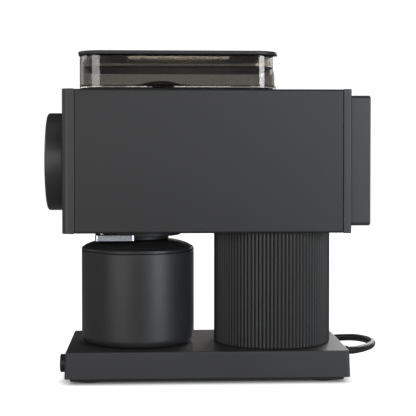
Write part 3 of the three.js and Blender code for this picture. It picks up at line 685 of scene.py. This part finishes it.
def slot_cutter(half_width, y0, y1, z, height):
    """A slot with round ends, drawn out along Y."""
    outline = rounded(2 * half_width, height, height / 2 - 0.0001)
    return skin("slot_cutter", [[(x, y, z + up) for x, up in outline] for y in (y0, y1)])


def rear_plate():
    low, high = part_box("rear_cap")
    low.z += CAP_GAP
    high.z -= CAP_GAP
    plate = slab("rear_plate", low, high, (0.0015, 0.0015, 0.0005, 0.0005), CAP_EDGE, 4)
    slots = []
    for row in range(-3, 4):
        z = dial_middle.z + GRILLE_PITCH * row
        slots.append(slot_cutter(0.030, low.y - 0.01, high.y + 0.01, z, GRILLE_HEIGHT))
    return bored(plate, *slots)


def vent_cover():
    low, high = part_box("rear_cover")
    centre = (low + high) / 2
    size = high - low

    def ring(y, inset):
        return [(x, y, centre.z + z) for x, z in rounded(size.x, size.z, COVER_CORNER, inset)]

    rings = [ring(high.y - COVER_WALL, COVER_WALL), ring(low.y, COVER_WALL), ring(low.y, 0)]
    rings += [ring(high.y - rise, inset) for inset, rise in reversed(broken_edge(0.0012, 4))]
    slots = []
    for row in range(-4, 4):
        z = centre.z + SLOT_PITCH * (row + 0.5)
        slots.append(slot_cutter(0.034, high.y - 0.005, high.y + 0.005, z, SLOT_HEIGHT))
    return bored(skin("vent_cover", rings), *slots)


fit(rear_plate(), CAST_COAT, "coat", "stand", "rear_cap")
fit(vent_cover(), CAST_COAT, "coat", "stand", "rear_cover")
cover_low, cover_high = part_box("rear_cover")
for side in (-1, 1):
    for z in (cover_low.z + COVER_SCREW_RISE, cover_high.z - COVER_SCREW_RISE):
        place = (side * COVER_SCREW_SIDE, cover_high.y - COVER_SCREW_SINK, z)
        cover_screw = screw(f"cover_screw_{side + 1}_{round(z * 1000)}", place, (0, 1, 0))
        fit(cover_screw, SCREW_STEEL, "steel", "stand")

# ---- Chute, its flange and the knocker ----
# The grounds fall through a black moulded chute with a round flange against the body. Beside it a
# bright brushed aluminium lever turns on a pin; flicked, it knocks the last grounds loose.

KNOCKER_CORNER = 0.0022
FLANGE_CLEARANCE = 0.0006
KNOCKER_LENGTH = 0.0300
TUBE_BORE, TUBE_OUTER, TUBE_LIP = 0.018, 0.021, 0.024
TUBE_TOP = 0.1235


def chute_flange():
    low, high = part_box("chute_flange")
    radius = (high.x - low.x) / 2
    return turned("chute_flange_ring", [
        (CHUTE_BORE, low.z),
        *bend(0.0006, radius - 0.0006, low.z + 0.0006, -90, 0, 4),
        (radius, high.z),
        (CHUTE_BORE, high.z),
    ], (low + high) / 2, 96, closed=True)


def chute_tube():
    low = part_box("chute")[0]
    lip_top = low.z + 0.0029
    return turned("chute_tube", [
        (TUBE_BORE, low.z),
        *bend(0.0005, TUBE_LIP - 0.0005, low.z + 0.0005, -90, 0, 4),
        (TUBE_LIP, lip_top),
        (TUBE_OUTER, lip_top),
        (TUBE_OUTER, TUBE_TOP),
        (TUBE_BORE, TUBE_TOP),
    ], middle("chute"), 96, closed=True)


def knocker_bar():
    low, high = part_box("knocker_lever")
    bar_high = Vector((high.x, low.y + KNOCKER_LENGTH, high.z - 0.0016))
    bar = slab("knocker_bar", low, bar_high, KNOCKER_CORNER, 0.0005, 8)
    flange = middle("chute_flange")
    reach = (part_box("chute_flange")[1].x - flange.x) + FLANGE_CLEARANCE
    return bored(bar, drill(reach, low.z - 0.01, high.z + 0.01, flange))


def brushed(name, dark, light, rough, grain, metallic=1.0):
    """Bare metal with fine parallel brush lines; grain is how many lines per metre along X, Y and Z."""
    material = bpy.data.materials.new(name)
    material.use_nodes = True
    nodes, links = material.node_tree.nodes, material.node_tree.links
    shader = nodes["Principled BSDF"]
    shader.inputs["Metallic"].default_value = metallic
    place = nodes.new("ShaderNodeTexCoord")
    stretch = nodes.new("ShaderNodeMapping")
    stretch.inputs["Scale"].default_value = grain
    lines = nodes.new("ShaderNodeTexNoise")
    lines.inputs["Scale"].default_value = 1
    lines.inputs["Detail"].default_value = 4
    shades = nodes.new("ShaderNodeMix")
    shades.data_type = "RGBA"
    shades.inputs["A"].default_value = (*dark, 1)
    shades.inputs["B"].default_value = (*light, 1)
    gloss = nodes.new("ShaderNodeMapRange")
    gloss.inputs["To Min"].default_value = rough - 0.06
    gloss.inputs["To Max"].default_value = rough + 0.06
    tooth = nodes.new("ShaderNodeBump")
    tooth.inputs["Strength"].default_value = 0.35
    tooth.inputs["Distance"].default_value = 0.00003
    links.new(place.outputs["Object"], stretch.inputs["Vector"])
    links.new(stretch.outputs["Vector"], lines.inputs["Vector"])
    links.new(lines.outputs["Fac"], shades.inputs["Factor"])
    links.new(lines.outputs["Fac"], gloss.inputs["Value"])
    links.new(lines.outputs["Fac"], tooth.inputs["Height"])
    links.new(shades.outputs["Result"], shader.inputs["Base Color"])
    links.new(gloss.outputs["Result"], shader.inputs["Roughness"])
    links.new(tooth.outputs["Normal"], shader.inputs["Normal"])
    return material


BRIGHT_ALUMINIUM = brushed("brushed aluminium", (0.66, 0.70, 0.76), (0.78, 0.82, 0.88), 0.26,
                           (4000, 90, 4000))

fit(chute_flange(), MOULDED, "black_plastic", "stand", "chute_flange")
fit(chute_tube(), MOULDED, "black_plastic", "stand", "chute")
fit(knocker_bar(), BRIGHT_ALUMINIUM, "bright_aluminium", "knocker", "knocker_lever")

# ---- Catch cup and its lid ----
# The cup is spun from aluminium and anodised satin black, with a rounded foot and a thin rolled rim. The
# lid is a shallow dome with a hole under the chute and a skirt that fits inside the rim.

CUP_FOOT = 0.0058
CUP_WALL = 0.0020
LID_DOME = [(0.0405, 0.1002), (0.0375, 0.10145), (0.0340, 0.10262), (0.0300, 0.10345), (0.0250, 0.10395)]

cup_low, cup_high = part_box("catch_cup")
cup_middle = middle("catch_cup")
cup_radius = (cup_high.x - cup_low.x) / 2


def cup_bowl():
    inner = cup_radius - CUP_WALL
    pocket = 0.0153
    floor = cup_low.z + 0.0048
    return turned("cup_bowl", [
        (0.0010, cup_low.z + 0.0027),
        (pocket, cup_low.z + 0.0027),
        (pocket, cup_low.z + 0.0003),
        (pocket + 0.0004, cup_low.z),
        *bend(CUP_FOOT, cup_radius - CUP_FOOT, cup_low.z + CUP_FOOT, -90, 0, 10),
        (cup_radius, cup_high.z - 0.0006),
        *bend(0.0005, cup_radius - 0.0005, cup_high.z - 0.0005, 0, 90, 3),
        (inner + 0.0004, cup_high.z),
        (inner, cup_high.z - 0.0004),
        *bend(0.0040, inner - 0.0040, floor + 0.0040, 0, -90, 6),
        (0.0010, floor),
    ], cup_middle, 128)


def cup_lid():
    low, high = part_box("catch_lid")
    rim = cup_high.z + 0.0003
    edge = high.z - 0.0061
    skirt = cup_radius - CUP_WALL - 0.0004
    hole = 0.0170
    return turned("cup_lid_dome", [
        (hole, high.z - 0.0018),
        (0.0350, 0.1000),
        (skirt - 0.0016, 0.0966),
        (skirt - 0.0016, low.z),
        (skirt, low.z),
        (skirt, rim),
        (cup_radius - 0.0003, rim),
        (cup_radius, rim + 0.0003),
        *bend(0.0011, cup_radius - 0.0011, edge - 0.0007, 0, 62, 4),
        *LID_DOME,
        (hole + 0.0005, high.z),
        (hole, high.z - 0.0005),
    ], cup_middle, 128, closed=True)


LID_BLACK = grained("matt black anodising", (0.016, 0.016, 0.017), (0.022, 0.022, 0.023), 0.42,
                    fine=3600, bump=0.00002, metallic=0.2)

fit(cup_bowl(), ANODISED, "anodised", "cup", "catch_cup")
fit(cup_lid(), LID_BLACK, "anodised", "cup", "catch_lid")

# ---- Hopper, its seal and its finger guard ----
# The bin is injection moulded in clear smoked plastic and sits on a thin rubber seal. A low moulded dome
# over its outlet keeps fingers out and lets beans through six slots.

BIN_WALL = 0.0025
BIN_CORNER = 0.0175
BIN_FLOOR = 0.0015
SEAL_THICKNESS = 0.0006
SPOUT_BORE, SPOUT_OUTER = 0.0106, 0.0126
GUARD_SLOTS = 6

bin_low, bin_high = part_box("hopper_bin")
seal_low, seal_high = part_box("hopper_seal")
seal_high.z = seal_low.z + SEAL_THICKNESS
bin_low.z = seal_high.z + 0.0001
bin_middle = (bin_low + bin_high) / 2
bin_size = bin_high - bin_low


def bin_ring(z, inset, steps=10):
    outline = rounded(bin_size.x, bin_size.y, BIN_CORNER, inset, steps)
    return [(bin_middle.x + x, bin_middle.y + y, z) for x, y in outline]


def hopper_bin():
    floor = bin_low.z + BIN_FLOOR
    rings = [
        bin_ring(floor, BIN_WALL + 0.0012),
        bin_ring(floor + 0.0004, BIN_WALL + 0.0004),
        bin_ring(floor + 0.0014, BIN_WALL),
        bin_ring(bin_high.z - 0.0003, BIN_WALL),
        bin_ring(bin_high.z, BIN_WALL - 0.0003),
        bin_ring(bin_high.z, 0.0003),
        bin_ring(bin_high.z - 0.0003, 0),
        bin_ring(bin_low.z + 0.0006, 0),
        bin_ring(bin_low.z, 0.0006),
    ]
    return bored(skin("bean_bin", rings), drill(SPOUT_BORE, 0.19, 0.24, middle("finger_guard")))


def bin_spout():
    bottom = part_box("hopper_bin")[0].z
    top = bin_low.z - 0.0001
    profile = [(SPOUT_BORE, bottom), (SPOUT_OUTER, bottom), (SPOUT_OUTER, top), (SPOUT_BORE, top)]
    return turned("bean_spout", profile, middle("finger_guard"), 64, closed=True)


def seat_seal():
    rings = []
    for z, inset in slab_levels(seal_low.z, seal_high.z, 0.0003):
        rings.append(bin_ring(z, 0.0003 + inset))
    rings += [bin_ring(seal_high.z, 0.0050), bin_ring(seal_low.z, 0.0050)]
    return skin("seat_seal", rings, closed=True)


def guard_dome():
    low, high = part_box("finger_guard")
    low.z = bin_low.z + BIN_FLOOR + 0.0001
    high.z -= 0.0009
    radius = (high.x - low.x) / 2 + 0.0024
    rise = high.z - low.z
    ball = (radius ** 2 + rise ** 2) / (2 * rise)
    centre_z = high.z - ball
    edge = math.degrees(math.asin((low.z - centre_z) / ball))
    inner = ball - 0.0016
    inner_edge = math.degrees(math.asin((low.z - centre_z) / inner))
    profile = bend(inner, 0, centre_z, 89.3, inner_edge, 8) + bend(ball, 0, centre_z, edge, 89.3, 12)
    dome = turned("guard_dome", profile, middle("finger_guard"), 96)
    centre = middle("finger_guard")
    slots = []
    slot_low = Vector((0.0065, -0.0024, low.z - 0.002))
    slot_high = Vector((0.0160, 0.0024, high.z + 0.002))
    for i in range(GUARD_SLOTS):
        slot = slab("guard_slot", slot_low, slot_high, 0.0023, 0.0002)
        slot.rotation_euler = (0, 0, math.tau * i / GUARD_SLOTS)
        slot.location = (centre.x, centre.y, 0)
        slots.append(slot)
    return bored(dome, *slots)


def smoked(name, tint, rough):
    """Clear smoked plastic: a brown-grey tint, with faint smears in its gloss and a slight ripple."""
    material = bpy.data.materials.new(name)
    material.use_nodes = True
    nodes, links = material.node_tree.nodes, material.node_tree.links
    shader = nodes["Principled BSDF"]
    shader.inputs["Transmission Weight"].default_value = 1.0
    shader.inputs["IOR"].default_value = 1.49
    grain = nodes.new("ShaderNodeGroup")
    grain.node_tree = SURFACE_GRAIN
    grain.inputs["Fine Scale"].default_value = 60
    grain.inputs["Broad Scale"].default_value = 25
    shades = nodes.new("ShaderNodeMix")
    shades.data_type = "RGBA"
    shades.inputs["A"].default_value = (*tint, 1)
    shades.inputs["B"].default_value = (*[channel * 1.08 for channel in tint], 1)
    gloss = nodes.new("ShaderNodeMapRange")
    gloss.inputs["To Min"].default_value = rough * 0.5
    gloss.inputs["To Max"].default_value = rough * 1.5
    ripple = nodes.new("ShaderNodeBump")
    ripple.inputs["Strength"].default_value = 0.002
    ripple.inputs["Distance"].default_value = 0.00005
    links.new(grain.outputs["Mottle"], shades.inputs["Factor"])
    links.new(grain.outputs["Mottle"], gloss.inputs["Value"])
    links.new(grain.outputs["Height"], ripple.inputs["Height"])
    links.new(shades.outputs["Result"], shader.inputs["Base Color"])
    links.new(gloss.outputs["Result"], shader.inputs["Roughness"])
    links.new(ripple.outputs["Normal"], shader.inputs["Normal"])
    return material


SMOKED = smoked("smoked clear plastic", (0.33, 0.315, 0.295), 0.03)

fit(seat_seal(), RUBBER, "rubber", "stand", "hopper_seal")
fit(hopper_bin(), SMOKED, "smoked_plastic", "stand", "hopper_bin")
fit(bin_spout(), SMOKED, "smoked_plastic", "stand")
fit(guard_dome(), MOULDED, "black_plastic", "stand", "finger_guard")

# ---- Hopper lid, plug and sealing sheet ----
# The lid is a thin flat coated plate. A shallow clear plug under it drops into the bin, and a thin black
# silicone sheet stretched over the plug's underside seals against the bin's wall. They pull straight off.

LID_EDGE = 0.0008
LID_OVERHANG = 0.0011
PLUG_INSET = 0.0052
PLUG_WALL = 0.0020
SHEET_INSET = 0.0029


def lid_plug():
    low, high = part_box("lid_plug")
    roof = high.z - 0.0006
    return skin("lid_plug_shell", [
        bin_ring(roof, PLUG_INSET + PLUG_WALL),
        bin_ring(low.z, PLUG_INSET + PLUG_WALL),
        bin_ring(low.z, PLUG_INSET + 0.0003),
        bin_ring(low.z + 0.0003, PLUG_INSET),
        bin_ring(high.z, PLUG_INSET),
    ])


def sealing_sheet():
    low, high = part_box("lid_gasket")
    levels = slab_levels(low.z, high.z, 0.0003)
    return skin("sealing_sheet", [bin_ring(z, SHEET_INSET + inset) for z, inset in levels])


lid_low, lid_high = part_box("hopper_lid")
lid_plate = slab("lid_plate", lid_low, lid_high, BIN_CORNER + LID_OVERHANG, LID_EDGE, 12)
CLEAR_PLUG = smoked("clear plug plastic", (0.82, 0.81, 0.79), 0.03)
SILICONE = grained("black silicone", (0.006, 0.006, 0.006), (0.010, 0.010, 0.010), 0.35, fine=1200, broad=40)
fit(lid_plate, POWDER_COAT, "coat", "lid", "hopper_lid")
fit(lid_plug(), CLEAR_PLUG, "smoked_plastic", "lid", "lid_plug")
fit(sealing_sheet(), SILICONE, "rubber", "lid", "lid_gasket")

# ---- Mains cord ----
# A round two-core cord with a soft black jacket, 6 mm thick. It leaves the back of the base through a
# ribbed sleeve and bends round to the far side, where the rest lies in a neat coil, with its flat plug.

CORD_RADIUS = 0.003
CORD_ROUTE = [
    (0, .100, .015), (0, .106, .015), (-.0004, .1115, .0149), (-.0032, .1176, .0146), (-.009, .124, .0144),
    (-.018, .1311, .0142), (-.029, .137, .014), (-.045, .1411, .0134), (-.062, .1416, .0124),
    (-.078, .1387, .0114), (-.092, .1335, .010), (-.104, .126, .008), (-.113, .1165, .006),
    (-.1195, .1065, .0045), (-.1235, .0975, .0037), (-.1258, .0896, .0035),
]
TAIL_ROUTE = [
    (-.1155, .0224, .0089), (-.108, .0156, .0086), (-.1005, .0088, .008), (-.095, .0012, .0073),
    (-.0925, -.007, .007), (-.092, -.014, .007),
]
COIL_CENTRE = (-0.095, 0.060)
COIL_START, COIL_END = 150, 1288
COIL_STEP = 14
INNER_TURN, OUTER_TURN = 0.030, 0.036
LOW_TURN, HIGH_TURN = 0.0031, 0.0090
SLEEVE_RINGS = 29
SLEEVE_STEP = 0.0005
PLUG_STRAIGHT, PLUG_TURN = 0.014, 0.024
PLUG_NECK = 0.0050


def eased(value, start, end):
    """0 before start, 1 after end, and smooth between."""
    part = min(max((value - start) / (end - start), 0), 1)
    return part * part * (3 - 2 * part)


def coil_points():
    """Outer low turn, inner low turn, inner high turn, and out again over the first."""
    points = []
    angle = COIL_START
    while angle <= COIL_END:
        inwards = eased(angle, 470, 530) - eased(angle, 1070, 1130)
        reach = OUTER_TURN - (OUTER_TURN - INNER_TURN) * inwards + 0.0067 * (1 - eased(angle, 128, 178))
        height = LOW_TURN + (HIGH_TURN - LOW_TURN) * eased(angle, 770, 830)
        turn = math.radians(angle)
        across, along = reach * math.cos(turn), reach * math.sin(turn)
        points.append((COIL_CENTRE[0] + across, COIL_CENTRE[1] + along, height))
        angle += COIL_STEP
    return points


def through(points, per_span=6):
    """Evenly close points on a smooth curve through the given ones."""
    spots = [Vector(p) for p in points]
    spots = [2 * spots[0] - spots[1], *spots, 2 * spots[-1] - spots[-2]]
    line = []
    for a, b, c, d in zip(spots, spots[1:], spots[2:], spots[3:]):
        for step in range(per_span):
            t = step / per_span
            line.append(0.5 * (2 * b + (c - a) * t + (2 * a - 5 * b + 4 * c - d) * t ** 2
                               + (3 * b - a - 3 * c + d) * t ** 3))
    return [*line, spots[-2]]


def cord_line():
    return through([*CORD_ROUTE[1:], *coil_points(), *TAIL_ROUTE, (-.092, -.018, .007)], 4)


def mains_cord(line):
    data = bpy.data.curves.new("mains_cord", "CURVE")
    data.dimensions = "3D"
    data.bevel_depth = CORD_RADIUS
    data.bevel_resolution = 5
    data.use_fill_caps = True
    spline = data.splines.new("POLY")
    spline.points.add(len(line) - 1)
    for point, place in zip(spline.points, line):
        point.co = (*place, 1)
    piece = bpy.data.objects.new("mains_cord", data)
    bpy.context.scene.collection.objects.link(piece)
    return piece


def cord_sleeve():
    """The moulded sleeve follows the cord's first bend and tapers, with grooves that let it flex."""
    line = through(CORD_ROUTE, 12)
    walked = 0.0
    rings = []
    stops = [SLEEVE_STEP * step for step in range(SLEEVE_RINGS)]
    for before, here, after in zip(line, line[1:], line[2:]):
        walked += (here - before).length
        if not stops or walked < stops[0]:
            continue
        along = stops.pop(0)
        while stops and stops[0] <= walked:
            stops.pop(0)
        if along < 0.0026:
            radius = 0.0065
        else:
            taper = min(max((along - 0.006) / 0.008, 0), 1)
            groove = 0.0003 if along > 0.0085 and math.sin(along * 2400) > 0.35 else 0
            radius = 0.0046 - 0.0011 * taper - groove
        forward = (after - before).normalized()
        side = forward.cross(Vector((0, 0, 1))).normalized()
        up = side.cross(forward)
        rings.append([here + side * x + up * y for x, y in circle(radius, 32)])
    return skin("cord_sleeve", rings)


def plug_shell():
    low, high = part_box("plug_body")
    centre_x = (low.x + high.x) / 2
    half = (high.x - low.x) / 2
    shoulder, turn = low.y + PLUG_STRAIGHT, low.y + PLUG_TURN
    pull = half - 0.003
    sides = [(half, low.y), (half, shoulder)]
    for i in range(1, 8):
        t = i / 8
        x = (1 - t) ** 2 * half + 2 * t * (1 - t) * pull + t * t * PLUG_NECK
        y = (1 - t) ** 2 * shoulder + 2 * t * (1 - t) * turn + t * t * high.y
        sides.append((x, y))
    sides.append((PLUG_NECK, high.y))
    outline = sides + [(-x, y) for x, y in reversed(sides)]
    rings = []
    middle_y = (low.y + high.y) / 2
    for z, inset in slab_levels(low.z, high.z, 0.0030):
        narrower = 1 - inset / half
        shorter = 1 - inset / (high.y - low.y) * 2
        rings.append([(centre_x + x * narrower, middle_y + (y - middle_y) * shorter, z) for x, y in outline])
    return skin("plug_shell", rings)


def plug_pin(number):
    low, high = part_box(f"plug_pin_{number}")
    radius = (high.z - low.z) / 2
    return turned(f"contact_pin_{number}", [
        (0.0004, low.y),
        *bend(0.0012, radius - 0.0012, low.y + 0.0012, -90, 0, 4),
        (radius, low.y + 0.0095),
        (radius - 0.0003, low.y + 0.0097),
        (radius - 0.0003, high.y),
    ], middle(f"plug_pin_{number}"), 32, "Y")


JACKET = grained("black cord jacket", (0.012, 0.0115, 0.011), (0.020, 0.019, 0.018), 0.46,
                 fine=1500, broad=60, bump=0.00005)
BRASS = brushed("plug brass", (0.62, 0.50, 0.26), (0.78, 0.66, 0.38), 0.25, (3000, 200, 3000))

line = cord_line()
cord = fit(mains_cord(line), JACKET, "cord_jacket", "stand", "power_cord", "cord_coil", "cord_tail")
sleeve = fit(cord_sleeve(), JACKET, "cord_jacket", "stand", "strain_relief")
plug = fit(plug_shell(), MOULDED, "black_plastic", "stand", "plug_body")
pins = [fit(plug_pin(number), BRASS, "brass", "stand", f"plug_pin_{number}") for number in (1, 2)]

# ---- Works inside ----
# The shaft, bearings, burrs, motor, springs, magnets and board keep their own shapes. Each gets the
# finish of its metal or moulding: cast, ground, turned or stamped.

CAST = grained("sand-cast aluminium", (0.36, 0.365, 0.37), (0.46, 0.465, 0.47), 0.52, fine=900, broad=40,
               bump=0.00012, metallic=0.9)
TURNED_STEEL = brushed("turned steel", (0.42, 0.43, 0.45), (0.58, 0.59, 0.61), 0.30, (600, 5000, 600))
TOOL_STEEL = brushed("ground tool steel", (0.26, 0.27, 0.29), (0.38, 0.39, 0.42), 0.28, (3500, 300, 3500))
COPPER = brushed("lacquered copper", (0.50, 0.20, 0.09), (0.68, 0.32, 0.16), 0.34, (300, 2500, 300))
BOARD = grained("green solder mask", (0.012, 0.090, 0.035), (0.020, 0.125, 0.050), 0.38,
                fine=1200, broad=200)

WORKS = (
    (CAST, "outer_burr_carrier", "burr_chamber", "motor_mount", "motor_end_cap"),
    (TURNED_STEEL, "base_weight", "base_magnet", "button_spring", "detent_plunger", "wave_spring",
     "inner_burr_carrier", "burr_nut", "auger", "front_bearing", "motor_can", "rear_bearing",
     "drive_shaft", "knocker_pin", "knocker_spring", "cup_magnet"),
    (TOOL_STEEL, "outer_burr", "inner_burr", "stator_core"),
    (COPPER, "rotor_core"),
    (BOARD, "control_board"),
    (BRASS, "adjuster_nut"),
    (MOULDED, "power_switch", "cooling_fan", "feed_throat"),
)

for material, *nodes in WORKS:
    for node in nodes:
        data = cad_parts[node].data
        data.materials.clear()
        data.materials.append(material)
